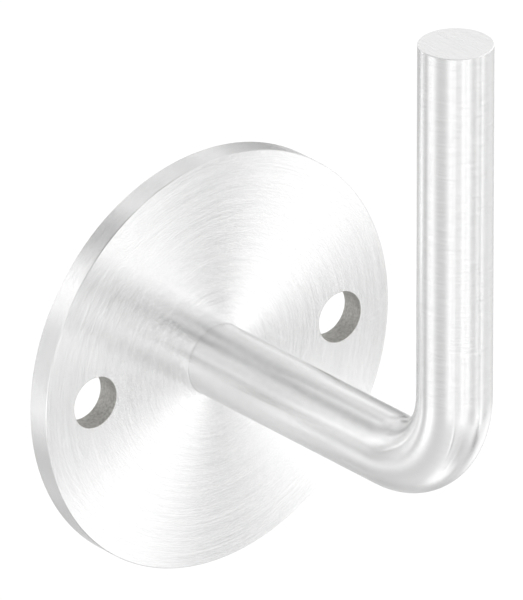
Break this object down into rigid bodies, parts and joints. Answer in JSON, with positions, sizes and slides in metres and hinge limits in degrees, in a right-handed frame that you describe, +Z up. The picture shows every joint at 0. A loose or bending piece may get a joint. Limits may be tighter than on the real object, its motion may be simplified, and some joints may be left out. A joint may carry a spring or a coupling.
{
  "type": "handrail bracket",
  "caption": "Wall bracket for a handrail: round screw-on plate with a round bar that reaches out, bends upward and ends in a plain flat end for the rail.",
  "frame": {"origin": "centre of the plate's back face, on the wall and on the arm's axis", "axes": "+Y out of the back face into the wall, +Z up along the upright, +X along the line of the two screw holes"},
  "size_m": [0.07, 0.068, 0.11],
  "materials": {
    "plate_steel": "stainless steel, front face brushed in fine rings about its centre",
    "bar_steel": "stainless steel, ground bright with fine lines round the bar",
    "weld_steel": "stainless weld metal, left rippled and faintly straw coloured"
  },
  "bodies": {
    "root": {"wall_plate": "plate_steel", "bent_bar": "bar_steel", "rear_weld": "weld_steel"}
  },
  "joints": []
}
